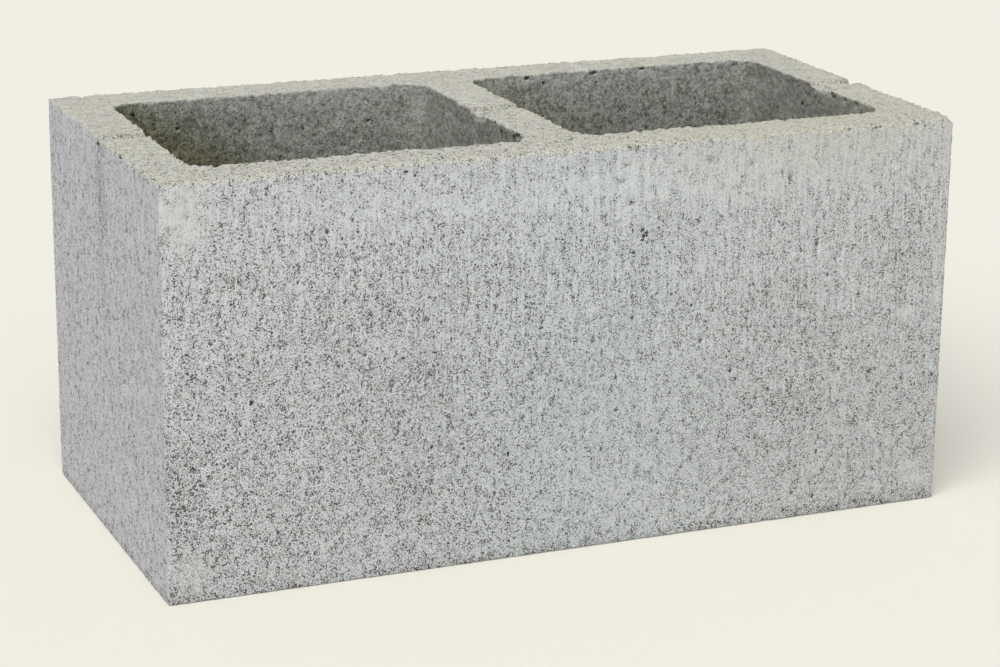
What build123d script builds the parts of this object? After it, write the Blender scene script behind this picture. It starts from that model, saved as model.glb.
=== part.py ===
# Hollow concrete masonry block: flat ends, two cells, solid face shells.
#
# The block is pressed as one piece in a steel mould. It stands here as it was
# cast: +X runs along its length, +Z is up, and the origin is at the centre of
# the face it stands on. All lengths are in millimetres.

import os

from build123d import *

# Outside of the block, a nominal 400 x 200 x 200 unit less one mortar joint
LENGTH = 390
WIDTH = 190
HEIGHT = 190
MOULD_CORNER_RADIUS = 1.5

# Walls at the top, where they are thinnest
FACE_SHELL_TOP = 25
END_WEB_TOP = 23
CENTRE_WEB_TOP = 24

# The steel cores slide up out of the fresh concrete, so each cell narrows downwards
CORE_DRAFT = 3
CELL_CORNER_RADIUS_TOP = 12

# Shallow groove that the bar carrying the cores leaves across the webs
CORE_BAR_WIDTH = 10
CORE_BAR_DEPTH = 1.5
CORE_BAR_SIDE_SLOPE = 0.75

CELL_LENGTH_TOP = (LENGTH - 2 * END_WEB_TOP - CENTRE_WEB_TOP) / 2
CELL_WIDTH_TOP = WIDTH - 2 * FACE_SHELL_TOP
CELL_SPACING = CELL_LENGTH_TOP + CENTRE_WEB_TOP
CELL_COUNT = 2


def mould_box():
    """The outside of the block, with the small radius of the mould's corners."""
    with BuildPart() as box:
        with BuildSketch():
            RectangleRounded(LENGTH, WIDTH, MOULD_CORNER_RADIUS)
        extrude(amount=HEIGHT)
    return box.part


def tapered_cores():
    """The two steel cores, each lofted from its foot to its wider head."""
    foot_inset = 2 * CORE_DRAFT
    foot_corner = CELL_CORNER_RADIUS_TOP - CORE_DRAFT
    with BuildPart() as cores:
        with GridLocations(CELL_SPACING, 0, CELL_COUNT, 1) as places:
            for place in places:
                with BuildSketch(Plane.XY * place):
                    RectangleRounded(
                        CELL_LENGTH_TOP - foot_inset,
                        CELL_WIDTH_TOP - foot_inset,
                        foot_corner,
                    )
                with BuildSketch(Plane.XY.offset(HEIGHT) * place):
                    RectangleRounded(CELL_LENGTH_TOP, CELL_WIDTH_TOP, CELL_CORNER_RADIUS_TOP)
                loft()
    return cores.part


def core_bar():
    """The groove's form: a flat bar with sloping flanks, lying across every web."""
    with BuildPart() as bar:
        with BuildSketch(Plane.YZ.offset(-LENGTH / 2)):
            with BuildLine():
                half_mouth = CORE_BAR_WIDTH / 2
                half_floor = half_mouth - CORE_BAR_SIDE_SLOPE
                floor = HEIGHT - CORE_BAR_DEPTH
                Polyline(
                    (-half_mouth, HEIGHT),
                    (-half_floor, floor),
                    (half_floor, floor),
                    (half_mouth, HEIGHT),
                    close=True,
                )
            make_face()
        extrude(amount=LENGTH)
    return bar.part


concrete_block = mould_box() - tapered_cores() - core_bar()

os.makedirs("parts", exist_ok=True)
export_step(concrete_block, "parts/concrete_block.step")
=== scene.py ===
"""Hollow concrete block, pressed in a steel mould, on a plain pale studio floor.

The block is one closed mesh: walls, beds and cells are triangulated from the block's few sizes, with points
that crowd together at the arrises and round the larger pores, and a geometry node tree then roughens it.
"""

import math

import bpy
import numpy as np
from bpy.props import FloatProperty, FloatVectorProperty, IntProperty, PointerProperty
from mathutils import Matrix, Vector
from mathutils.geometry import delaunay_2d_cdt


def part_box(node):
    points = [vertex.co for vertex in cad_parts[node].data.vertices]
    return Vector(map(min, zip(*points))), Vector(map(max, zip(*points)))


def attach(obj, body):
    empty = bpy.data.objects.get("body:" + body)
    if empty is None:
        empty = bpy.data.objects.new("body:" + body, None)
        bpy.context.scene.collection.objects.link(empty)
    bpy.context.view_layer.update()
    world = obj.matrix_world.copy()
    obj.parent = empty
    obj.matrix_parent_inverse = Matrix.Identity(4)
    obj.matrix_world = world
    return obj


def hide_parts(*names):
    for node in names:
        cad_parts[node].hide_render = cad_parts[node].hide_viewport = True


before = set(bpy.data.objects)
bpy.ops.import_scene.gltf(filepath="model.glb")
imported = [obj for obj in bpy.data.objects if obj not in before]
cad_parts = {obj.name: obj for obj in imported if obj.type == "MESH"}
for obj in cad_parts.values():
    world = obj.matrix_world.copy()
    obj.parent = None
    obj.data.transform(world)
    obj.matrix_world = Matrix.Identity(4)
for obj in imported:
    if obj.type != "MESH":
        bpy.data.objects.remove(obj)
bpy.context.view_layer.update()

bl_info = {
    "name": "Pressed Concrete Block",
    "version": (1, 0, 0),
    "blender": (4, 5, 0),
    "location": "View3D > Sidebar > Concrete Block",
    "description": "Builds a hollow concrete block with a pressed finish, and a studio stage for it",
    "category": "Object",
}

NODE = "concrete_block"
BODY = "root"
MM = 0.001
# Width of the camera's frame in millimetres
FULL_FRAME = 36

LOW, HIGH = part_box(NODE)
LENGTH, WIDTH, HEIGHT = HIGH - LOW


def linear(hex_colour):
    """An sRGB hex colour as linear red, green, blue and alpha."""
    channels = [int(hex_colour[i : i + 2], 16) / 255 for i in (1, 3, 5)]
    curve = [c / 12.92 if c <= 0.04045 else ((c + 0.055) / 1.055) ** 2.4 for c in channels]
    return (*curve, 1.0)


def length_property(name, description, default):
    """A length that a user may change, in metres."""
    return FloatProperty(name=name, description=description, default=default, min=0.0, unit="LENGTH")


def angle_property(name, description, degrees):
    """An angle that a user may change, written in degrees."""
    return FloatProperty(name=name, description=description, default=math.radians(degrees), subtype="ANGLE")


def colour_property(name, description, hex_colour):
    """A colour that a user may change, written as sRGB hex."""
    return FloatVectorProperty(
        name=name, description=description, default=linear(hex_colour), size=4, min=0, max=1, subtype="COLOR"
    )


class BlockShape(bpy.types.PropertyGroup):
    """Sizes of the block, as the mould makes them"""

    length: length_property("Length", "Length of the block", LENGTH)
    width: length_property("Width", "Width of the block over both face shells", WIDTH)
    height: length_property("Height", "Height of the block", HEIGHT)
    face_shell: length_property("Face shell", "Thickness of a face shell at the top", 25 * MM)
    end_web: length_property("End web", "Thickness of an end web at the top", 23 * MM)
    centre_web: length_property("Centre web", "Thickness of the centre web at the top", 24 * MM)
    core_draft: length_property("Core draft", "How much each cell wall leans in towards the bottom", 3 * MM)
    cell_corner: length_property("Cell corner", "Radius of a cell's corners at the top", 12 * MM)
    mould_corner: length_property("Mould corner", "Radius of the outer upright corners", 1.0 * MM)
    bar_width: length_property("Core bar width", "Width of the groove that the core bar leaves", 10 * MM)
    bar_depth: length_property("Core bar depth", "Depth of the groove that the core bar leaves", 1.5 * MM)
    bar_slope: length_property("Core bar flank", "Width of each sloping side of the groove", 1.6 * MM)
    swell: length_property("Swell", "How far the tamped top stands above the mould", 0.7 * MM)
    chip: length_property("Corner chip", "Depth of the chip off the front right corner of the top", 2.2 * MM)


class BlockRelief(bpy.types.PropertyGroup):
    """Roughness of the block's surfaces"""

    waviness: length_property("Waviness", "Depth of the slow waves in the outer faces", 0.4 * MM)
    bed_grain: length_property("Bed grain", "Depth of the grain on the tamped top", 1.6 * MM)
    cell_lump: length_property("Cell lumps", "Depth of the aggregate lumps on the cell walls", 0.8 * MM)
    cell_grain: length_property("Cell grain", "Depth of the coarse grain on the cell walls", 1.6 * MM)
    ragged: length_property("Arris grain", "Depth of the sandy grain along the arrises", 2.2 * MM)
    crumble: length_property("Arris crumble", "Depth of the crumbled bites along the arrises", 2.0 * MM)
    seed: IntProperty(name="Seed", description="Start of every random draw", default=7, min=0)


class BlockColours(bpy.types.PropertyGroup):
    """Colours of the pressed concrete"""

    pore: colour_property("Pore", "Depth of an open pore", "#4b4a46")
    shade: colour_property("Grain shade", "Shaded side of the sand grains", "#8b8c89")
    paste: colour_property("Cement paste", "Cement skin between the grains", "#babbbc")
    grain: colour_property("Grain", "Sand grains at the surface", "#cbccce")
    pale: colour_property("Pale grain", "Palest sand grains", "#dddee0")
    blue_paste: colour_property("Blue paste", "Bluish cement in the middle of the front", "#b9c1c6")
    bed_pore: colour_property("Bed pore", "Gaps between the crumbs of the tamped top", "#67655a")
    bed_shade: colour_property("Bed shade", "Shaded side of the crumbs of the tamped top", "#a09e92")
    bed: colour_property("Tamped bed", "Dusty top under the tamper", "#c3c1b4")
    bed_pale: colour_property("Bed grain", "Palest grains of the tamped top", "#d7d5ca")
    cell_pore: colour_property("Cell void", "Voids between the lumps of a cell wall", "#2a2b26")
    cell_shade: colour_property("Cell shade", "Paste between the lumps of a cell wall", "#73746a")
    cell: colour_property("Cell wall", "Raw aggregate of the cell walls", "#96978e")
    cell_pale: colour_property("Cell grain", "Palest grains of the cell walls", "#c0c1ba")
    left_tint: colour_property("Left tint", "Cast of the cement at the left", "#fefeff")
    middle_tint: colour_property("Middle tint", "Cast of the cement in the middle", "#fbfeff")
    right_tint: colour_property("Right tint", "Cast of the cement at the right", "#fefefd")
    end_tint: colour_property("End tint", "Cool cast of the cement skin on the ends", "#fdfbff")
    # Painted shade: an olive darkening that stands for the shadow of the webs and warm bounced light low in
    # the cells
    cell_shadow_tint: colour_property("Cell shadow tint", "Olive cast low in the cells", "#dad6b5")
    dust: colour_property("Dust", "Yellowish dust on the right of the top", "#c2bfa9")
    laitance: colour_property("Laitance", "Smooth pale cement smears", "#d6d5cf")
    rust: colour_property("Iron speck", "Rusty specks of iron in the sand", "#96684b")
    floor: colour_property("Floor", "Studio floor and background", "#f1ede0")
    sky: colour_property("Sky", "Light from all round", "#f7faff")


class BlockStage(bpy.types.PropertyGroup):
    """Camera and light"""

    azimuth: angle_property("Azimuth", "Turn of the view about the upright", -22.97)
    elevation: angle_property("Elevation", "Height of the view", 16.68)
    roll: angle_property("Roll", "Tilt of the view", 0.62)
    distance: length_property("Distance", "Camera to the plane through the block's foot", 1.39617)
    shift_right: length_property("Move right", "Sideways step of the camera", 3.21 * MM)
    shift_up: length_property("Move up", "Upward step of the camera", 74.92 * MM)
    lens: FloatProperty(name="Lens", description="Focal length on a full frame", default=101.04, min=1.0)
    sky: FloatProperty(name="Sky", description="Strength of the light from all round", default=0.52, min=0.0)
    key: FloatProperty(name="Key", description="Strength of the soft key light", default=2.1, min=0.0)
    key_size: angle_property("Key size", "Angle that the key light fills", 50)
    key_way: FloatVectorProperty(
        name="Key way",
        description="Way in which the key light shines",
        default=(0.42, 0.5, -0.8),
        subtype="XYZ",
    )


def outline_stations(half_x, half_y, radius):
    """Distances at which the straights and corners of a rounded rectangle end, on a walk round it.

    The walk starts at the middle of the back, and goes by the left, the front and the right.
    """
    core_x, core_y = half_x - radius, half_y - radius
    arc = radius * math.pi / 2
    return np.cumsum([0.0, core_x, arc, 2 * core_y, arc, 2 * core_x, arc, 2 * core_y, arc, core_x])


def outline(half_x, half_y, radius, along, grow=0.0):
    """Points at the distances `along` round a rounded rectangle, moved outwards by `grow`."""
    stations = outline_stations(half_x, half_y, radius)
    left, right, back, front = radius - half_x, half_x - radius, half_y - radius, radius - half_y
    x = np.interp(along, stations, [0, left, left, left, left, right, right, right, right, 0])
    y = np.interp(along, stations, [back, back, back, front, front, front, front, back, back, back])
    quarter_turns = np.interp(along, stations, [1, 1, 2, 2, 3, 3, 4, 4, 5, 5])
    angle = quarter_turns * math.pi / 2
    return np.column_stack([x + (radius + grow) * np.cos(angle), y + (radius + grow) * np.sin(angle)])


# Share of a grid's spacing by which its points stray
JITTER = 0.28


def graded_points(length, height, reach, bands, rng):
    """Jittered points on a flat sheet: one grid for each band of distance from the nearest arris."""
    kept = []
    for spacing, near, far in bands:
        columns = round(length / spacing)
        rows = round(height / spacing)
        across, up = np.meshgrid(
            (np.arange(columns) + 0.5) * length / columns, (np.arange(rows) + 0.5) * height / rows
        )
        points = np.column_stack([across.ravel(), up.ravel()])
        points += rng.uniform(-JITTER, JITTER, points.shape) * spacing
        distance = reach(points)
        kept.append(points[(distance >= near) & (distance < far)])
    return np.concatenate(kept)


# Pores of the faces and of a cell's wall: how many, least and greatest radius, and margin of the sheet
FACE_PITS = (850, (0.4 * MM, 1.1 * MM), 2.5 * MM)
CELL_PITS = (150, (0.5 * MM, 1.3 * MM), 3.0 * MM)
# How much taller than wide they are, and how far those of the faces keep from the upright corners
FACE_PIT_STRETCH, CELL_PIT_STRETCH = 1.3, 1.0
CORNER_MARGIN = 3 * MM
# Pores to a cluster, share of pores in clusters, spread of a cluster, least gap, and lean towards small ones
CLUSTER_SIZE, CLUSTERED, CLUSTER_SPREAD, PIT_GAP, SMALL_LEAN = 12, 0.6, 9 * MM, 0.5 * MM, 2.5
# Rings of points in a pore: how many, their share of its radius, and their share of its depth
PIT_RINGS = ((8, 1.0, 0.0), (6, 0.66, 0.8), (1, 0.0, 1.0))
# Radii that a pore clears round its middle, and least and greatest share of a ring's radius
PIT_CLEARS, RING_RAGGED = 1.4, (0.72, 1.28)


def scattered_pits(length, height, count, radii, clear, rng):
    """Places and radii of pores, most of them in loose clusters, each with room of its own."""
    small, large = radii
    room = np.array([length - 2 * clear, height - 2 * clear])
    clusters = rng.random((count // CLUSTER_SIZE, 2)) * room
    pits = np.full((1, 3), np.inf)
    pits[0, 2] = 0
    while len(pits) <= count:
        radius = small + (large - small) * rng.random() ** SMALL_LEAN
        centre = rng.random(2) * room
        if rng.random() < CLUSTERED:
            centre = rng.choice(clusters) + rng.normal(0, CLUSTER_SPREAD, 2)
        gaps = np.hypot(*(pits[:, :2] - centre - clear).T) - pits[:, 2] - radius
        if (centre > 0).all() and (centre < room).all() and gaps.min() > PIT_GAP:
            pits = np.vstack([pits, [*(centre + clear), radius]])
    return pits[1:]


def sink_pits(points, pits, stretch, rng):
    """Clears the points under each pore and puts its rings there. Returns points and their depths."""
    nearest = np.full(len(points), np.inf)
    for x, y, radius in pits:
        away = np.hypot(points[:, 0] - x, (points[:, 1] - y) / stretch) / radius
        nearest = np.minimum(nearest, away)
    kept = points[nearest > PIT_CLEARS]
    rings = [kept]
    depths = [np.zeros(len(kept))]
    for x, y, radius in pits:
        for count, share, sunk in PIT_RINGS:
            turn = (np.arange(count) + rng.random()) * 2 * math.pi / count
            out = radius * share * rng.uniform(*RING_RAGGED, count)
            rings.append(np.column_stack([x + out * np.cos(turn), y + stretch * out * np.sin(turn)]))
            depths.append(np.full(count, sunk * radius))
    return np.concatenate(rings), np.concatenate(depths)


def triangulate(points):
    """Triangles that join flat points, as rows of three point numbers, anticlockwise."""
    _, _, faces, sources, _, _ = delaunay_2d_cdt([Vector(p / MM) for p in points], [], [], 0, 1e-6)
    source = np.array([ids[0] for ids in sources])
    return source[np.array(faces)]


# Points nearer than this are one point
WELD = 0.001 * MM


class Skin:
    """The block's surface, gathered sheet by sheet, with what each point knows about its place."""

    MASKS = ("arris", "bed", "cell", "end", "pit", "groove")

    def __init__(self):
        self.points = []
        self.faces = []
        self.masks = []
        self.count = 0

    def add(self, points, faces, **masks):
        """Adds a sheet. A mask that isn't given is 0 all over the sheet."""
        self.points.append(points)
        self.faces.append(faces + self.count)
        values = [np.broadcast_to(masks.get(name, 0.0), len(points)) for name in self.MASKS]
        self.masks.append(np.column_stack(values))
        self.count += len(points)

    def welded(self):
        """Points, faces and masks with the sheets joined. A shared point keeps the larger mask."""
        points = np.concatenate(self.points)
        masks = np.concatenate(self.masks)
        keys = np.round(points / WELD).astype(np.int64)
        _, first, where = np.unique(keys, axis=0, return_index=True, return_inverse=True)
        where = where.ravel()
        largest = np.full((len(first), len(self.MASKS)), -np.inf)
        np.maximum.at(largest, where, masks)
        return points[first], where[np.concatenate(self.faces)], dict(zip(self.MASKS, largest.T))


# Spacing of points along the rims and down a sheet's sides, and how far other points keep from a rim
RIM_SPACING, SIDE_SPACING, RIM_CLEARS = 1.0 * MM, 2 * MM, 0.3 * MM
# Bands of each sheet: spacing of its points, and from which to which distance from an arris
OUTER_BANDS = ((1.0 * MM, 0.0, 3.2 * MM), (2.0 * MM, 3.2 * MM, 9 * MM), (4.0 * MM, 9 * MM, 1.0))
CELL_BANDS = ((1.0 * MM, 0.0, 3.2 * MM), (2.0 * MM, 3.2 * MM, 45 * MM), (4.5 * MM, 45 * MM, 1.0))
BED_BANDS = ((1.0 * MM, 0.0, 3.2 * MM), (2.0 * MM, 3.2 * MM, 1.0))
SOLE_BANDS = ((1.2 * MM, 0.0, 2.4 * MM), (4.0 * MM, 2.4 * MM, 1.0))
# Width of a worn arris, and how worn each kind is
ARRIS_REACH = 3.5 * MM
TOP_ARRIS, FOOT_ARRIS, UPRIGHT_ARRIS, CELL_ARRIS = 0.7, 0.6, 0.2, 0.9


def fading(distance):
    """1 on an arris, falling to 0 at ARRIS_REACH from it."""
    share = np.clip(1 - distance / ARRIS_REACH, 0, 1)
    return share * share * (3 - 2 * share)


def edge_points(length, spacing):
    """Even steps along an edge, both ends included."""
    return np.linspace(0, length, round(length / spacing) + 1)


def framed(length, height, spacing_low, spacing_high, inner):
    """Inner points of a sheet with points along all four of its edges."""
    low = edge_points(length, spacing_low)
    high = edge_points(length, spacing_high)
    side = edge_points(height, SIDE_SPACING)[1:-1]
    return np.concatenate(
        [
            np.column_stack([low, np.zeros(len(low))]),
            np.column_stack([high, np.full(len(high), height)]),
            np.column_stack([np.zeros(len(side)), side]),
            np.column_stack([np.full(len(side), length), side]),
            inner,
        ]
    )


def outer_wall(skin, shape, rng):
    """The four outer faces as one sheet wrapped round the mould's outline."""
    half = (shape.length / 2, shape.width / 2, shape.mould_corner)
    stations = outline_stations(*half)
    around = stations[-1]
    corners = (stations[1:8:2] + stations[2:9:2]) / 2

    def upright(points):
        return np.abs(points[:, :1] - corners).min(axis=1)

    def reach(points):
        return np.minimum(upright(points), np.minimum(points[:, 1], shape.height - points[:, 1]))

    lattice = graded_points(around, shape.height, reach, OUTER_BANDS, rng)
    pits = scattered_pits(around, shape.height, *FACE_PITS, rng)
    pits = pits[upright(pits) > CORNER_MARGIN]
    inner, depth = sink_pits(lattice, pits, FACE_PIT_STRETCH, rng)
    sheet = framed(around, shape.height, RIM_SPACING, RIM_SPACING, inner)
    depth = np.concatenate([np.zeros(len(sheet) - len(inner)), depth])
    arris = np.maximum(FOOT_ARRIS * fading(sheet[:, 1]), UPRIGHT_ARRIS * fading(upright(sheet)))
    flat = outline(*half, sheet[:, 0])
    points = np.column_stack([flat, sheet[:, 1]])
    end = np.clip((np.abs(flat[:, 0]) - (half[0] - half[2])) / half[2], 0, 1)
    skin.add(points, triangulate(sheet), arris=arris, end=end, pit=depth)


def cell_wall(skin, shape, centre, half, rng):
    """The wall of one cell, which leans in towards the bottom."""
    around = outline_stations(*half)[-1]

    def reach(points):
        return shape.height - points[:, 1]

    lattice = graded_points(around, shape.height, reach, CELL_BANDS, rng)
    pits = scattered_pits(around, shape.height, *CELL_PITS, rng)
    inner, depth = sink_pits(lattice, pits, CELL_PIT_STRETCH, rng)
    sheet = framed(around, shape.height, 2 * RIM_SPACING, RIM_SPACING, inner)
    depth = np.concatenate([np.zeros(len(sheet) - len(inner)), depth])
    lean = shape.core_draft * (sheet[:, 1] / shape.height - 1)
    flat = outline(*half, sheet[:, 0], lean) + (centre, 0)
    points = np.column_stack([flat, sheet[:, 1]])
    cell = (sheet[:, 1] < shape.height).astype(float)
    web = np.clip((np.abs(flat[:, 0] - centre) - half[0] + half[2]) / half[2], 0, 1)
    skin.add(points, triangulate(sheet)[:, ::-1], cell=cell, end=cell * web, pit=depth)


def rounded_gap(points, half_x, half_y, radius):
    """Signed distance of flat points from a rounded rectangle about the origin, positive outside."""
    past = np.abs(points) - (half_x - radius, half_y - radius)
    return np.hypot(*np.maximum(past, 0).T) + np.minimum(past.max(axis=1), 0) - radius


def bed(skin, shape, cells, height, bands, spacing, lean, rng, **masks):
    """A flat face round both cells: the top, or the face that the block stands on."""
    outer = (shape.length / 2, shape.width / 2, shape.mould_corner)
    middle = np.array(outer[:2])

    def outer_reach(points):
        return -rounded_gap(points, *outer)

    def cell_reach(points):
        gaps = [rounded_gap(points - (centre, 0), *(size + lean for size in half)) for centre, half in cells]
        return np.min(gaps, axis=0)

    def reach(points):
        return np.minimum(outer_reach(points), cell_reach(points))

    def detail(points):
        flank = np.abs(np.abs(points[:, 1]) - shape.bar_width / 2)
        return np.minimum(reach(points), flank if height else np.inf)

    lattice = graded_points(shape.length, shape.width, lambda p: detail(p - middle), bands, rng) - middle
    loops = [outline(*outer, edge_points(outline_stations(*outer)[-1], RIM_SPACING)[:-1])]
    for centre, half in cells:
        along = edge_points(outline_stations(*half)[-1], spacing)[:-1]
        loops.append(outline(*half, along, lean) + (centre, 0))
    sheet = np.concatenate([*loops, lattice[reach(lattice) > RIM_CLEARS]])
    faces = triangulate(sheet)
    faces = faces[reach(sheet[faces].mean(axis=1)) > 0]
    rim, inner_rim = (TOP_ARRIS, CELL_ARRIS) if height else (FOOT_ARRIS, FOOT_ARRIS)
    arris = np.maximum(rim * fading(outer_reach(sheet)), inner_rim * fading(cell_reach(sheet)))
    points = np.column_stack([sheet, np.full(len(sheet), height)])
    skin.add(points, faces if height else faces[:, ::-1], arris=arris, **masks)


# How much the swell falls to the right and the back, and is rubbed off along the arrises
SWELL_FALL, SWELL_RUBBED = (0.5, 0.35), 0.5
# Core bar's groove: step and spread of its wandering sides, and how far down the walls sink with it
BAR_STEP, BAR_WANDER, BAR_SINK = 2.5 * MM, 0.5 * MM, 12 * MM
# The rough line along its back: place as a share of its width, and half width
BAR_LINE, BAR_LINE_HALF = 0.4, 1.8 * MM
# The way that the chip's plane faces
CHIP_FACES = (0.30, -0.33, 0.895)


def swell_top(points, masks, shape):
    """Lifts the tamped top above the mould, most at the front left and least along the outer arrises."""
    half = np.array([shape.length / 2, shape.width / 2])
    flat = points[:, :2]
    rubbed = fading((half - np.abs(flat)).min(axis=1))
    points[:, 2] += shape.swell * masks["bed"] * (1 - flat / half @ SWELL_FALL - SWELL_RUBBED * rubbed)


def press_core_bar(points, masks, shape, rng):
    """Lowers the webs under the core bar, and the walls below it over a short depth."""
    stations = np.arange(-shape.length / 2, shape.length / 2, BAR_STEP)
    wander = np.interp(points[:, 0], stations, rng.normal(0, BAR_WANDER, len(stations)))
    from_side = shape.bar_width / 2 - np.abs(points[:, 1] - wander)
    sunk = np.clip(1 - (shape.height - points[:, 2]) / BAR_SINK, 0, 1)
    points[:, 2] -= shape.bar_depth * sunk * np.clip(from_side / shape.bar_slope, 0, 1)
    from_line = points[:, 1] - wander - BAR_LINE * shape.bar_width
    masks["groove"] = np.maximum(masks["groove"], sunk * np.exp(-((from_line / BAR_LINE_HALF) ** 2)))


def knock_corner(points, shape):
    """Breaks the front right corner off the top, along a slanting plane."""
    corner = np.array([shape.length / 2, -shape.width / 2, shape.height])
    away = np.array(CHIP_FACES)
    past = (points - corner) @ away + shape.chip
    points -= np.maximum(past, 0)[:, None] * away


# Holes, then a rubbed rim and broken rims, that show by themselves: middle and half widths in millimetres,
# and the way in which they are sunk
BACK, RIGHT, LEFT, DOWN = (0, 0.8, -0.6), (0.8, 0, -0.6), (-0.8, 0, -0.6), (0, 0, -1)
HOLES = (
    ((32.5, -95, 150.4), (1.0, 1.6, 0.8), BACK),
    ((34.3, -95, 149.3), (1.2, 1.6, 0.7), BACK),
    ((33.2, -95, 147.7), (0.7, 1.6, 1.3), BACK),
    ((32.3, -95, 146.0), (0.9, 1.6, 0.8), BACK),
    ((-155.7, -95, 89.7), (1.1, 1.6, 1.2), BACK),
    ((-83, -95, 187.5), (1.1, 1.8, 0.8), BACK),
    ((-79, -95, 185.5), (0.8, 1.6, 0.7), BACK),
    ((25.1, -95, 190.0), (0.9, 1.6, 0.6), BACK),
    ((29.2, -95, 190.0), (0.7, 1.6, 0.6), BACK),
    ((138.5, -95, 189.4), (1.4, 1.6, 0.8), BACK),
    ((152.8, -95, 189.4), (1.0, 1.6, 0.7), BACK),
    ((155.2, -95, 189.4), (1.0, 1.6, 0.7), BACK),
    ((174.8, -95, 189.4), (1.0, 1.6, 0.7), BACK),
    ((-195, 2.6, 188.0), (1.8, 2.8, 1.5), RIGHT),
    ((-195, -33.8, 189.0), (1.8, 3.0, 1.9), RIGHT),
    ((45.6, 70, 188.8), (1.8, 2.0, 1.1), BACK),
    ((82.5, 70, 188.8), (2.2, 2.0, 1.1), BACK),
    ((109.9, 70, 189.2), (1.6, 2.0, 0.9), BACK),
    ((54.5, 70, 185.7), (1.0, 1.8, 0.9), BACK),
    ((172, -16.5, 189.2), (2.0, 1.6, 1.2), RIGHT),
    ((172, -20, 187.8), (2.0, 1.9, 1.3), RIGHT),
    ((172, -31.4, 188.4), (2.0, 1.9, 1.2), RIGHT),
    ((172, -42, 188.8), (2.0, 1.8, 1.1), RIGHT),
    ((-12, -53, 189.4), (2.2, 2.2, 1.4), RIGHT),
    ((-12, -48, 188.0), (2.0, 1.2, 1.0), RIGHT),
    ((-12, -33, 186), (2.0, 1.6, 2.4), RIGHT),
    ((-12, -25.3, 189.6), (1.6, 1.5, 0.9), RIGHT),
    ((171.5, 11.4, 178.5), (1.6, 2.0, 1.6), RIGHT),
    ((-62.3, -82, 190), (0.8, 1.7, 1.6), DOWN),
    ((-63.5, -89, 190), (0.8, 1.9, 1.6), DOWN),
)
RUBS = (((-172, -34, 190), (5, 44, 14), (-0.22, 0, 0)),)
BREAKS = (
    ((-12, -7, 190), (3.5, 9, 2.6), RIGHT),
    ((172, -8, 190), (3.5, 9, 2.6), RIGHT),
    ((195, 1, 190), (3.0, 5, 2.2), LEFT),
)


# Depth of a hollow against its least half width, and how dusty the broken rims are
HOLLOW_DEPTH, BREAK_DUST = 1.1, 0.25


def press(points, middle, half, inwards):
    """Sinks one hollow into the points, and returns how deep in it each of them lies, from 0 to 1."""
    away = np.linalg.norm((points / MM - middle) / half, axis=1)
    share = np.sqrt(np.clip(1 - away**2, 0, None))
    points += HOLLOW_DEPTH * MM * min(half) * share[:, None] * np.array(inwards)
    return share


# Kinds of node that come often
MATH, VECTOR_MATH, MAP_RANGE = "ShaderNodeMath", "ShaderNodeVectorMath", "ShaderNodeMapRange"
NOISE, GRAINS = "ShaderNodeTexNoise", "ShaderNodeTexVoronoi"


def add(tree, kind, take=0, inputs=None, stops=(), **settings):
    """Adds one node with its settings and its inputs, values or links, and returns one of its outputs."""
    made = tree.nodes.new(kind)
    for name, value in settings.items():
        setattr(made, name, value)
    by_name = {}
    for socket in made.inputs:
        by_name[socket.identifier] = socket
        if socket.enabled:
            by_name.setdefault(socket.name, socket)
    for name, value in (inputs or {}).items():
        socket = made.inputs[name] if isinstance(name, int) else by_name[name]
        if isinstance(value, bpy.types.NodeSocket):
            tree.links.new(value, socket)
        else:
            socket.default_value = value
    for number, (position, colour) in enumerate(stops):
        elements = made.color_ramp.elements
        element = elements[number] if number < 2 else elements.new(1.0)
        element.position = position
        element.color = colour
    if not made.outputs:
        return made
    shown = [socket for socket in made.outputs if socket.enabled]
    return shown[take] if isinstance(take, int) else made.outputs[take]


def weighted(tree, start, terms):
    """A start with signals added to it, each less its own middle and times its weight."""
    total = start
    for signal, middle, weight in terms:
        if middle:
            signal = add(tree, MATH, operation="SUBTRACT", inputs={0: signal, 1: middle})
        total = add(tree, MATH, operation="MULTIPLY_ADD", inputs={0: signal, 1: weight, 2: total})
    return total


# Each texture of the relief: size of its grains in millimetres, octaves of finer grain, and their weight
RELIEF_GRAINS = {
    "waves": (55, 2.0, 0.5),
    "crumbs": (3.0, 3.0, 0.6),
    "knobs": (6.5, 3.0, 0.65),
    "ragged": (3.0, 2.0, 0.6),
    "bites": (8, 4.0, 0.65),
}
# Aggregate lumps: size in millimetres, middle, and how much smoother the webs are. Then the bites' range
LUMP_SIZE, LUMP_MIDDLE, WEB_SMOOTHER = 4.5, 0.45, -0.6
BITE_START, BITE_FULL = 0.52, 0.76


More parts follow.
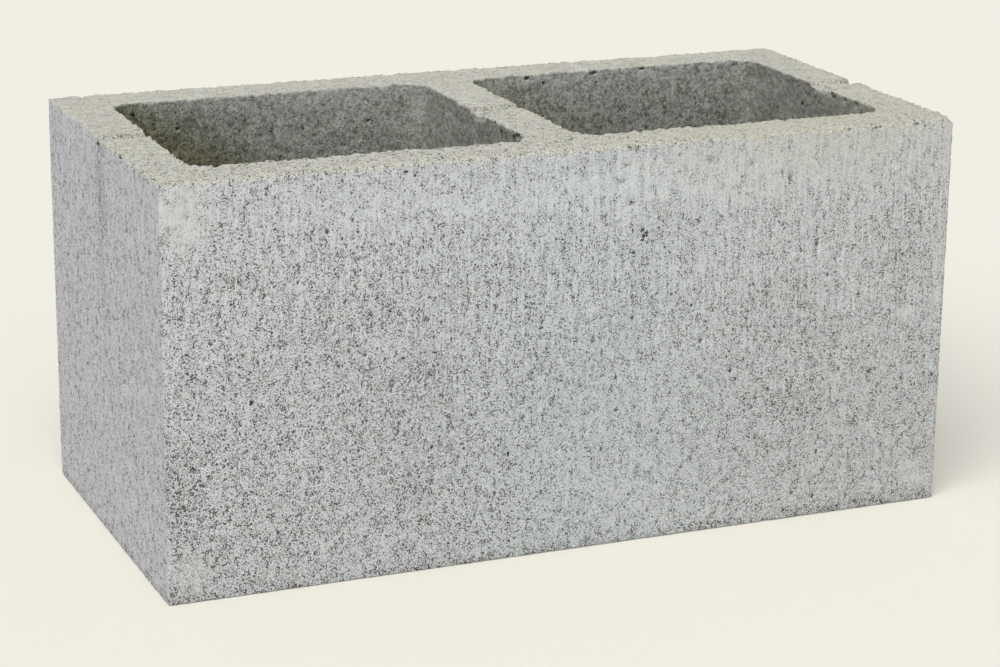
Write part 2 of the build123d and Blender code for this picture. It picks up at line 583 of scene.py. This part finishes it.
def relief_tree(material):
    """Geometry nodes that roughen the smooth block along its normals, but not below the floor."""
    tree = bpy.data.node_groups.new("cast_relief", "GeometryNodeTree")
    tree.interface.new_socket("Geometry", in_out="OUTPUT", socket_type="NodeSocketGeometry")
    tree.interface.new_socket("Geometry", in_out="INPUT", socket_type="NodeSocketGeometry")
    depths = ("waviness", "bed_grain", "cell_lump", "cell_grain", "ragged", "crumble")
    for name in depths:
        tree.interface.new_socket(name, in_out="INPUT", socket_type="NodeSocketFloat")
    group = tree.nodes.new("NodeGroupInput")
    depth = {name: group.outputs[name] for name in depths}
    mask = {
        name: add(tree, "GeometryNodeInputNamedAttribute", inputs={"Name": name}, data_type="FLOAT")
        for name in Skin.MASKS
    }
    place = add(tree, "GeometryNodeInputPosition")
    normal = add(tree, "GeometryNodeInputNormal")
    grain = {
        name: add(
            tree,
            NOISE,
            inputs={"Vector": place, "Scale": 1 / (size * MM), "Detail": detail, "Roughness": roughness},
        )
        for name, (size, detail, roughness) in RELIEF_GRAINS.items()
    }
    lumps = add(tree, GRAINS, take="Distance", inputs={"Vector": place, "Scale": 1 / (LUMP_SIZE * MM)})
    bites = add(
        tree,
        MAP_RANGE,
        inputs={"Value": grain["bites"], "From Min": BITE_START, "From Max": BITE_FULL},
        interpolation_type="SMOOTHSTEP",
    )
    rough_bed = add(tree, MATH, operation="MAXIMUM", inputs={0: mask["bed"], 1: mask["groove"]})
    rough_cell = weighted(tree, mask["cell"], [(mask["end"], 0.0, WEB_SMOOTHER)])
    rough_cell = add(tree, MATH, operation="MAXIMUM", inputs={0: rough_cell, 1: 0.0})
    # Signal, its middle, its depth, and the part of the block that has it
    raised = (
        (grain["waves"], 0.5, depth["waviness"], 1.0),
        (grain["knobs"], 0.5, depth["cell_grain"], rough_cell),
        (grain["ragged"], 0.5, depth["ragged"], mask["arris"]),
    )
    sunk = (
        (lumps, LUMP_MIDDLE, depth["cell_lump"], rough_cell),
        (bites, 0.0, depth["crumble"], mask["arris"]),
        (mask["pit"], 0.0, 1.0, 1.0),
    )
    crumbs = ((grain["crumbs"], 0.5, depth["bed_grain"], rough_bed),)
    rise, fall, lift = (
        weighted(
            tree,
            0.0,
            [
                (signal, middle, add(tree, MATH, operation="MULTIPLY", inputs={0: size, 1: part}))
                for signal, middle, size, part in terms
            ],
        )
        for terms in (raised, sunk, crumbs)
    )
    height = add(tree, MATH, operation="SUBTRACT", inputs={0: rise, 1: fall})
    outwards = add(tree, VECTOR_MATH, operation="SCALE", inputs={0: normal, "Scale": height})
    upwards = add(tree, "ShaderNodeCombineXYZ", inputs={"Z": lift})
    offset = add(tree, VECTOR_MATH, operation="ADD", inputs={0: outwards, 1: upwards})
    block = group.outputs["Geometry"]
    moved = add(tree, "GeometryNodeSetPosition", inputs={"Geometry": block, "Offset": offset})
    across = add(tree, "ShaderNodeSeparateXYZ", inputs={0: place})
    along, up = across.node.outputs["Y"], across.node.outputs["Z"]
    above = add(tree, MATH, operation="MAXIMUM", inputs={0: up, 1: 0.0})
    seat = add(tree, "ShaderNodeCombineXYZ", inputs={"X": across, "Y": along, "Z": above})
    seated = add(tree, "GeometryNodeSetPosition", inputs={"Geometry": moved, "Position": seat})
    smooth = add(tree, "GeometryNodeSetShadeSmooth", inputs={"Geometry": seated, "Shade Smooth": True})
    whole = add(tree, "GeometryNodeRealizeInstances", inputs={"Geometry": smooth})
    dressed = add(tree, "GeometryNodeSetMaterial", inputs={"Geometry": whole, "Material": material})
    add(tree, "NodeGroupOutput", inputs={"Geometry": dressed})
    return tree


# Each texture of the finish: node, stretch along X, Y and Z, grain size in millimetres, how far the tint
# bends it, and octaves of finer grain and their weight
FINISH_GRAINS = {
    "tint": (NOISE, (1, 1, 1), 1.4, 0.0, (1.0, 0.5)),
    "sand": (GRAINS, (1, 1, 1.05), 0.52, 0.5, ()),
    "stone": (GRAINS, (1, 0.5, 1), 1.5, 0.6, ()),
    "pore": (GRAINS, (1, 0.5, 0.8), 0.62, 0.6, ()),
    "patchy": (NOISE, (1, 0.6, 0.6), 2.6, 0.0, (2.0, 0.6)),
    "drag": (GRAINS, (1, 1, 0.09), 1.0, 0.0, ()),
    "crumb": (NOISE, (1, 0.5, 0.9), 3.4, 0.0, (3.0, 0.65)),
    "clump": (NOISE, (1, 1, 0.7), 5.0, 0.0, (2.0, 0.5)),
    "lump": (NOISE, (1, 0.7, 1), 9.0, 0.0, (3.0, 0.6)),
    "blotch": (NOISE, (1, 1, 1), 38, 0.0, (2.0, 0.5)),
}

# Colours of each finish, from its darkest to its lightest, and of the cement from left to right
RAMPS = {
    "face": {"pore": 0.0, "shade": 0.2, "paste": 0.42, "grain": 0.65, "pale": 1.0},
    "bed": {"bed_pore": 0.0, "bed_shade": 0.2, "bed": 0.42, "bed_pale": 0.9},
    "cell": {"cell_pore": 0.0, "cell_shade": 0.3, "cell": 0.55, "cell_pale": 0.9},
    "side": {"left_tint": 0.0, "middle_tint": 0.5, "right_tint": 1.0},
}

# Patches of the skin: colour, or none where only its pores differ, middle and half widths in millimetres,
# and how much the colour covers or how much lighter the pores make it
PATCHES = (
    (None, (0, -95, 172), (230, 6, 18), 0.1),
    (None, (65.8, -95, 181.8), (4, 6, 2.5), -0.3),
    (None, (24, -95, 176), (30, 6, 16), 0.08),
    (None, (20, -95, 50), (70, 6, 60), 0.05),
    (None, (0, -95, 16), (280, 6, 30), 0.05),
    (None, (-100, -95, 128), (26, 6, 16), -0.09),
    (None, (-80, -95, 92), (26, 6, 20), -0.05),
    (None, (-190, -95, 55), (18, 6, 34), -0.12),
    (None, (112, -95, 60), (24, 6, 14), -0.07),
    (None, (110, -95, 100), (60, 6, 36), -0.05),
    (None, (178, -95, 135), (30, 6, 60), -0.06),
    (None, (-195, 1, 185), (6, 13, 105), -0.15),
    (None, (-190.4, -95, 171), (4, 6, 2.5), -0.4),
    (None, (-193.8, -95, 166), (2.5, 6, 4), -0.35),
    (None, (-187.5, -95, 184.5), (3, 6, 3), -0.12),
    ("laitance", (-185, -95, 176), (13.5, 6, 21), 0.6),
    ("laitance", (-184, -95, 13), (11, 6, 13), 0.4),
    ("laitance", (182, -95, 16), (8, 6, 11), 0.35),
    ("laitance", (174, -95, 97), (5, 6, 5), 0.6),
    ("laitance", (191, -95, 125), (7, 6, 45), 0.2),
    ("bed_shade", (191, -92, 187), (4, 3.5, 2.5), 0.7),
    ("laitance", (-13.3, 69.5, 178.5), (2.2, 8, 8), 0.9),
    ("laitance", (128, 69.5, 178), (2, 8, 10), 0.45),
    ("laitance", (113.6, 69.5, 185.6), (4, 8, 3.5), 0.5),
    ("rust", (-181.4, -95, 152), (0.9, 3, 0.9), 0.9),
    ("rust", (-151, -95, 148.7), (0.9, 3, 0.9), 0.8),
    ("rust", (-150.8, -95, 137.9), (0.8, 3, 0.8), 0.7),
    ("rust", (91.7, -95, 76.6), (0.8, 3, 0.8), 0.7),
    ("rust", (93.3, -95, 189.6), (0.9, 3, 0.9), 0.7),
    ("blue_paste", (20, -95, 60), (80, 6, 90), 0.12),
    ("dust", (120, -60, 190), (140, 75, 42), 0.45),
)
# Where a patch starts and is full, as shares of its half widths, and a distance past every hole
PATCH_EDGE, PATCH_FULL, FAR_AWAY = 1.0, 0.1, 9.0
# Middles that aren't 0.5: of the gaps between grains, and of the open pores
GAP_MIDDLE, PORE_MIDDLE = 0.45, 0.13


def away_from(tree, place, middle, half):
    """Distance of a place from the middle of a patch, where 1 is the patch's edge."""
    scale = tuple(1 / (h * MM) for h in half)
    shift = tuple(-m / h for m, h in zip(middle, half))
    inputs = {0: place, 1: scale, 2: shift}
    scaled = add(tree, VECTOR_MATH, operation="MULTIPLY_ADD", inputs=inputs)
    return add(tree, VECTOR_MATH, take="Value", operation="LENGTH", inputs={0: scaled})


def pressed_concrete(colours, shape):
    """Pressed concrete: sand in cement paste, quite matt.

    To the eye it is pale and open-pored, streaked upright where the mould was drawn off, dusty and yellower
    on the tamped top, and dark and lumpy inside the cells.
    """
    material = bpy.data.materials.new("pressed_concrete")
    material.use_nodes = True
    tree = material.node_tree
    tree.nodes.clear()
    place = add(tree, "ShaderNodeTexCoord", take="Object")
    across = add(tree, "ShaderNodeSeparateXYZ", inputs={0: place})
    along, up = across.node.outputs["Y"], across.node.outputs["Z"]
    mask = {
        name: add(tree, "ShaderNodeAttribute", take="Fac", attribute_name=name)
        for name in ("bed", "cell", "end", "pit", "groove")
    }
    grain = {}
    for name, (kind, stretch, size, bend, finer) in FINISH_GRAINS.items():
        scale = tuple(s / (size * MM) for s in stretch)
        scaled = add(tree, VECTOR_MATH, operation="MULTIPLY", inputs={0: place, 1: scale})
        if bend:
            tones = grain["tint"].node.outputs["Color"]
            bent = {0: tones, 1: (bend, bend, bend), 2: scaled}
            scaled = add(tree, VECTOR_MATH, operation="MULTIPLY_ADD", inputs=bent)
        inputs = {"Vector": scaled, "Scale": 1.0, **dict(zip(("Detail", "Roughness"), finer))}
        grain[name] = add(tree, kind, inputs=inputs)
    gap = {name: grain[name] for name in ("sand", "stone")}
    for name in ("sand", "stone", "pore", "drag"):
        tones = grain[name].node.outputs["Color"]
        grain[name] = add(tree, "ShaderNodeSeparateColor", take="Green", inputs={"Color": tones})
    odd = grain["sand"].node.outputs["Red"]
    hole = FAR_AWAY
    for middle, half, _ in HOLES:
        away = away_from(tree, place, middle, half)
        hole = add(tree, MATH, operation="MINIMUM", inputs={0: away, 1: hole})

    height = shape.height
    cell_end = shape.end_web - shape.length / 2
    cell_pitch = shape.centre_web / 2 - cell_end
    right_cell = add(tree, MATH, operation="GREATER_THAN", inputs={0: across, 1: 0.0})
    # A slanting line in each cell, lower at its right, under which shade is painted: the shadow of the web
    # to its left, with an olive cast of warm bounced light
    drop, run = 40 * MM, 70 * MM
    shadow_line = weighted(
        tree,
        0.25,
        [(up, height, -1 / drop), (across, cell_end, -1 / run), (right_cell, 0.0, cell_pitch / run - 0.15)],
    )
    # Shares that run smoothly from 0 to 1: signal, where it is 0 and where it is 1
    ranges = {
        "pit": (mask["pit"], 0.15 * MM, 0.7 * MM),
        "dragged": (up, 0.2 * height, 0.75 * height),
        "skin": (up, 0.75 * height, 0.97 * height),
        "rise": (up, -0.4 * height, 1.4 * height),
        "foot": (up, 6 * MM, 0.0),
        "side": (across, -shape.length / 2, shape.length / 2),
        "front": (along, 20 * MM, -shape.width / 2),
        "near": (along, 50 * MM, -20 * MM),
        "over": (across, cell_end, cell_end + 130 * MM),
        "mouth": (up, height - 45 * MM, height),
        "lip": (up, height - 10 * MM, height - 2 * MM),
        "shadowed": (shadow_line, -0.4, 0.55),
        "upper": (up, 0.1 * height, 0.7 * height),
        "iron": (odd, 0.9998, 0.99987),
        "speck": (odd, 0.9, 0.95),
        "hole": (weighted(tree, hole, [(grain["tint"], 0.5, -1.6)]), 1.1, 0.75),
        "porous": (weighted(tree, grain["pore"], [(grain["patchy"], 0.5, 1.8)]), 0.82, 1.02),
        "void": (grain["crumb"], 0.46, 0.3),
    }
    share = {
        name: add(
            tree,
            MAP_RANGE,
            inputs={"Value": value, "From Min": low, "From Max": high},
            interpolation_type="SMOOTHSTEP",
        )
        for name, (value, low, high) in ranges.items()
    }

    patches = []
    layers = []
    ragged = weighted(tree, 0.0, [(grain["clump"], 0.5, -1.2), (grain["sand"], 0.5, 0.4)])
    for name, middle, half, amount in PATCHES:
        away = away_from(tree, place, middle, half)
        here = add(
            tree,
            MAP_RANGE,
            inputs={
                "Value": add(tree, MATH, operation="ADD", inputs={0: away, 1: ragged}),
                "From Min": PATCH_EDGE,
                "From Max": PATCH_FULL,
                "To Max": abs(amount),
            },
            interpolation_type="SMOOTHSTEP",
        )
        if name:
            layers.append((getattr(colours, name), "MIX", here))
        else:
            patches.append((here, 0.0, math.copysign(1.0, amount)))

    # Lightness of each finish, where 0.5 is its middle: signal, its own middle and its weight
    sand_weight = weighted(
        tree,
        0.94,
        [
            (share["side"], 0.0, -0.27),
            (share["skin"], 0.0, -0.12),
            (mask["end"], 0.0, -0.36),
            (grain["clump"], 0.5, -1.2),
        ],
    )
    pore_weight = weighted(
        tree, -0.41, [(mask["end"], 0.0, 0.17), (share["side"], 0.5, 0.28), (share["skin"], 0.0, 0.12)]
    )
    drag_on_end = weighted(tree, 0.18, [(mask["end"], 0.0, -0.09)])
    drag_weight = weighted(tree, 0.05, [(share["dragged"], 0.0, drag_on_end)])
    rise_weight = weighted(tree, 0.2, [(mask["end"], 0.0, -0.2)])
    bed_sand_weight = weighted(tree, 0.66, [(share["front"], 0.0, 0.25)])
    speck_weight = weighted(tree, -0.15, [(share["front"], 0.0, -0.55)])
    bed_pore_weight = weighted(tree, -0.1, [(share["front"], 0.0, -0.6)])
    lip_weight = weighted(tree, 0.1, [(mask["end"], 0.0, -0.16)])
    web_shade = weighted(tree, -0.02, [(share["near"], 0.0, -0.11)])
    # Grain of the cell walls, gentler on the webs
    raw_grain = weighted(
        tree,
        0.0,
        [
            (grain["sand"], 0.5, 0.42),
            (share["porous"], PORE_MIDDLE, -0.2),
            (grain["stone"], 0.5, 0.34),
            (gap["stone"], GAP_MIDDLE, -0.2),
            (grain["crumb"], 0.5, 0.42),
            (share["void"], 0.1, -0.12),
            (grain["lump"], 0.5, 0.3),
        ],
    )
    raw_weight = weighted(tree, 1.0, [(mask["end"], 0.0, -0.2)])
    lightness = {
        "face": (
            (grain["sand"], 0.5, sand_weight),
            (gap["sand"], GAP_MIDDLE, -0.32),
            (grain["drag"], 0.5, drag_weight),
            (share["porous"], PORE_MIDDLE, pore_weight),
            (grain["clump"], 0.5, 0.42),
            (grain["blotch"], 0.5, 0.1),
            (share["rise"], 0.64, rise_weight),
            # Painted shade along the foot of the faces, where the block meets the floor
            (share["foot"], 0.0, -0.1),
            (mask["end"], 0.0, -0.015),
            # painted shade in the sunk pores
            (share["pit"], 0.0, -0.35),
            *patches,
        ),
        "bed": (
            (grain["sand"], 0.5, bed_sand_weight),
            (gap["sand"], GAP_MIDDLE, -0.2),
            (grain["clump"], 0.5, 0.5),
            (share["speck"], 0.05, speck_weight),
            (share["porous"], PORE_MIDDLE, bed_pore_weight),
            (mask["groove"], 0.0, -0.2),
            # painted shade in the sunk pores
            (share["pit"], 0.0, -0.6),
        ),
        "cell": (
            (raw_grain, 0.0, raw_weight),
            # Painted light: the left cell grows lighter away from the shadow of its left web
            (share["over"], 0.6, 0.22),
            (share["side"], 0.4, -0.09),
            # Painted light: cell walls lighter towards their mouth and darker deeper down
            (share["mouth"], 0.6, 0.14),
            (share["lip"], 0.2, lip_weight),
            (mask["end"], 0.0, web_shade),
            # painted shade in the sunk pores
            (share["pit"], 0.0, -0.35),
        ),
    }
    signals = {name: weighted(tree, 0.5, terms) for name, terms in lightness.items()}
    signals["side"] = share["side"]
    colour = {}
    for name, signal in signals.items():
        stops = [(position, getattr(colours, tone)) for tone, position in RAMPS[name].items()]
        colour[name] = add(tree, "ShaderNodeValToRGB", inputs={"Fac": signal}, stops=stops)
    dust_line = weighted(tree, up, [(grain["clump"], 0.5, 8 * MM), (share["side"], 0.5, 1 * MM)])
    dust = add(
        tree,
        MAP_RANGE,
        inputs={
            "Value": dust_line,
            "From Min": height - 1.5 * MM,
            "From Max": height + 1.0 * MM,
            "To Max": 0.8,
        },
    )
    # Painted shadow of the webs on the cell walls, fading out towards the bottom
    shadow_in_cell = share["shadowed"]
    for part in (mask["cell"], share["upper"]):
        shadow_in_cell = add(tree, MATH, operation="MULTIPLY", inputs={0: shadow_in_cell, 1: part})
    # Painted shade: the listed holes are painted dark to stand for the shade deep inside them
    in_hole = add(tree, MATH, operation="MULTIPLY", inputs={0: share["hole"], 1: 0.88})
    # What lies over the plain face, one over the other: colour, how it is laid on, and where
    finishes = [
        (colour["side"], "MULTIPLY", 1.0),
        (colours.end_tint, "MULTIPLY", mask["end"]),
        (colour["bed"], "MIX", dust),
        (colour["bed"], "MIX", mask["bed"]),
        (colour["cell"], "MIX", mask["cell"]),
        # painted shadow with an olive cast inside the cells
        (colours.cell_shadow_tint, "MULTIPLY", shadow_in_cell),
        (grain["tint"].node.outputs["Color"], "OVERLAY", 0.2),
        (colours.rust, "MIX", share["iron"]),
        (colours.cell_pore, "MIX", in_hole),
    ]
    face = colour["face"]
    for over, blend, here in finishes + layers:
        face = add(
            tree,
            "ShaderNodeMix",
            inputs={"Factor_Float": here, "A_Color": face, "B_Color": over},
            data_type="RGBA",
            blend_type=blend,
        )
    inputs = {"Height": gap["sand"], "Distance": -0.5 * MM, "Strength": 0.5}
    bump = add(tree, "ShaderNodeBump", inputs=inputs)
    shader = add(
        tree,
        "ShaderNodeBsdfPrincipled",
        inputs={"Base Color": face, "Roughness": 0.93, "Specular IOR Level": 0.25, "Normal": bump},
    )
    add(tree, "ShaderNodeOutputMaterial", inputs={"Surface": shader})
    return material


class CONCRETE_OT_cast_block(bpy.types.Operator):
    """Casts the block: one closed mesh with its arrises, pores, cells and core-bar grooves"""

    bl_idname = "concrete.cast_block"
    bl_label = "Cast block"

    def execute(self, context):
        shape = context.scene.block_shape
        relief = context.scene.block_relief
        draft = self.smooth_block(context.scene, shape, np.random.default_rng(relief.seed))
        modifier = draft.modifiers.new("cast_relief", "NODES")
        modifier.node_group = relief_tree(pressed_concrete(context.scene.block_colours, shape))
        for socket in modifier.node_group.interface.items_tree:
            if socket.in_out == "INPUT" and socket.name in relief.bl_rna.properties:
                modifier[socket.identifier] = getattr(relief, socket.name)
        context.view_layer.update()
        evaluated = draft.evaluated_get(context.evaluated_depsgraph_get())
        finished = bpy.data.meshes.new_from_object(evaluated)
        bpy.data.objects.remove(draft)
        if len(finished.polygons) * 3 != len(finished.edges) * 2:
            raise RuntimeError("the block's skin is not closed")
        finished.name = "pressed_block"
        piece = bpy.data.objects.new("pressed_block", finished)
        context.scene.collection.objects.link(piece)
        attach(piece, BODY)
        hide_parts(NODE)
        return {"FINISHED"}

    def smooth_block(self, scene, shape, rng):
        """The block as it leaves the mould, with its pores, groove and chip but no roughness yet."""
        cell_length = (shape.length - 2 * shape.end_web - shape.centre_web) / 2
        half = (cell_length / 2, shape.width / 2 - shape.face_shell, shape.cell_corner)
        offset = (cell_length + shape.centre_web) / 2
        cells = [(-offset, half), (offset, half)]
        skin = Skin()
        outer_wall(skin, shape, rng)
        for centre, half in cells:
            cell_wall(skin, shape, centre, half, rng)
        bed(skin, shape, cells, shape.height, BED_BANDS, RIM_SPACING, 0.0, rng, bed=1.0)
        bed(skin, shape, cells, 0.0, SOLE_BANDS, 2 * RIM_SPACING, -shape.core_draft, rng, end=1.0)
        points, faces, masks = skin.welded()
        swell_top(points, masks, shape)
        for hollow in HOLES + RUBS:
            press(points, *hollow)
        for hollow in BREAKS:
            share = press(points, *hollow)
            masks["bed"] = np.maximum(masks["bed"], BREAK_DUST * share)
            masks["cell"] *= 1 - BREAK_DUST * share
        press_core_bar(points, masks, shape, rng)
        knock_corner(points, shape)
        mesh = bpy.data.meshes.new("smooth_block")
        mesh.from_pydata(points.tolist(), [], faces.tolist())
        for name, values in masks.items():
            mesh.attributes.new(name, "FLOAT", "POINT").data.foreach_set("value", values.astype(np.float32))
        draft = bpy.data.objects.new("smooth_block", mesh)
        scene.collection.objects.link(draft)
        return draft


class CONCRETE_OT_set_stage(bpy.types.Operator):
    """Lays the floor and sets the lights and the camera"""

    bl_idname = "concrete.set_stage"
    bl_label = "Set stage"

    def execute(self, context):
        scene = context.scene
        self.lay_floor(scene, scene.block_colours)
        self.set_lights(scene, scene.block_colours, scene.block_stage)
        self.set_camera(scene, scene.block_stage)
        scene.view_settings.view_transform = "Standard"
        return {"FINISHED"}

    def lay_floor(self, scene, colours):
        """A wide plain floor just under the block."""
        half = 6.0
        drop = -0.3 * MM
        corners = [(-half, -half, drop), (half, -half, drop), (half, half, drop), (-half, half, drop)]
        mesh = bpy.data.meshes.new("studio_floor")
        mesh.from_pydata(corners, [], [(0, 1, 2, 3)])
        floor = bpy.data.objects.new("studio_floor", mesh)
        scene.collection.objects.link(floor)
        # Matt paint: it shows the block's soft shadow and no shine
        paint = bpy.data.materials.new("matt_floor_paint")
        paint.use_nodes = True
        tree = paint.node_tree
        tree.nodes.clear()
        shader = add(tree, "ShaderNodeBsdfDiffuse", inputs={"Color": colours.floor})
        add(tree, "ShaderNodeOutputMaterial", inputs={"Surface": shader})
        mesh.materials.append(paint)

    def set_lights(self, scene, colours, stage):
        """A pale sky all round and one broad soft key from the front left."""
        world = bpy.data.worlds.new("studio_sky")
        scene.world = world
        world.use_nodes = True
        tree = world.node_tree
        tree.nodes.clear()
        seeing = add(tree, "ShaderNodeLightPath", take="Is Camera Ray")
        rays = seeing.node.outputs
        for ray in (rays["Is Glossy Ray"], rays["Is Transmission Ray"]):
            seeing = add(tree, MATH, operation="MAXIMUM", inputs={0: seeing, 1: ray})
        sky = add(tree, "ShaderNodeBackground", inputs={"Color": colours.sky, "Strength": stage.sky})
        backdrop = add(tree, "ShaderNodeBackground", inputs={"Color": colours.floor, "Strength": 1.0})
        mixed = add(tree, "ShaderNodeMixShader", inputs={0: seeing, 1: sky, 2: backdrop})
        add(tree, "ShaderNodeOutputWorld", inputs={"Surface": mixed})

        key = bpy.data.lights.new("soft_key", "SUN")
        key.energy = stage.key
        key.angle = stage.key_size
        lamp = bpy.data.objects.new("soft_key", key)
        lamp.rotation_euler = Vector(stage.key_way).to_track_quat("-Z", "Y").to_euler()
        scene.collection.objects.link(lamp)

    def set_camera(self, scene, stage):
        """The camera, turned and rolled about the block's foot."""
        a, e, r = stage.azimuth, stage.elevation, stage.roll
        back = Vector((math.sin(a) * math.cos(e), -math.cos(a) * math.cos(e), math.sin(e)))
        level = Vector((math.cos(a), math.sin(a), 0))
        upright = back.cross(level)
        right = level * math.cos(r) + upright * math.sin(r)
        up = upright * math.cos(r) - level * math.sin(r)
        data = bpy.data.cameras.new("photo_camera")
        data.sensor_fit = "HORIZONTAL"
        data.sensor_width = FULL_FRAME
        data.lens = stage.lens
        camera = bpy.data.objects.new("photo_camera", data)
        turn = Matrix((right, up, back)).transposed().to_4x4()
        place = right * stage.shift_right + up * stage.shift_up + back * stage.distance
        camera.matrix_world = Matrix.Translation(place) @ turn
        scene.collection.objects.link(camera)
        scene.camera = camera


class CONCRETE_PT_sidebar(bpy.types.Panel):
    """Sizes, colours and buttons of the concrete block"""

    bl_idname = "CONCRETE_PT_sidebar"
    bl_label = "Concrete Block"
    bl_space_type = "VIEW_3D"
    bl_region_type = "UI"
    bl_category = "Concrete Block"

    def draw(self, context):
        scene = context.scene
        for group in (scene.block_shape, scene.block_relief, scene.block_colours, scene.block_stage):
            box = self.layout.box()
            for name in group.__annotations__:
                box.prop(group, name)
        self.layout.operator(CONCRETE_OT_cast_block.bl_idname)
        self.layout.operator(CONCRETE_OT_set_stage.bl_idname)


GROUPS = {
    "block_shape": BlockShape,
    "block_relief": BlockRelief,
    "block_colours": BlockColours,
    "block_stage": BlockStage,
}
CLASSES = (*GROUPS.values(), CONCRETE_OT_cast_block, CONCRETE_OT_set_stage, CONCRETE_PT_sidebar)


def register():
    for cls in CLASSES:
        bpy.utils.register_class(cls)
    for name, group in GROUPS.items():
        setattr(bpy.types.Scene, name, PointerProperty(type=group))


def unregister():
    for name in GROUPS:
        delattr(bpy.types.Scene, name)
    for cls in reversed(CLASSES):
        bpy.utils.unregister_class(cls)


def main():
    register()
    bpy.ops.concrete.cast_block()
    bpy.ops.concrete.set_stage()


if __name__ == "__main__":
    main()
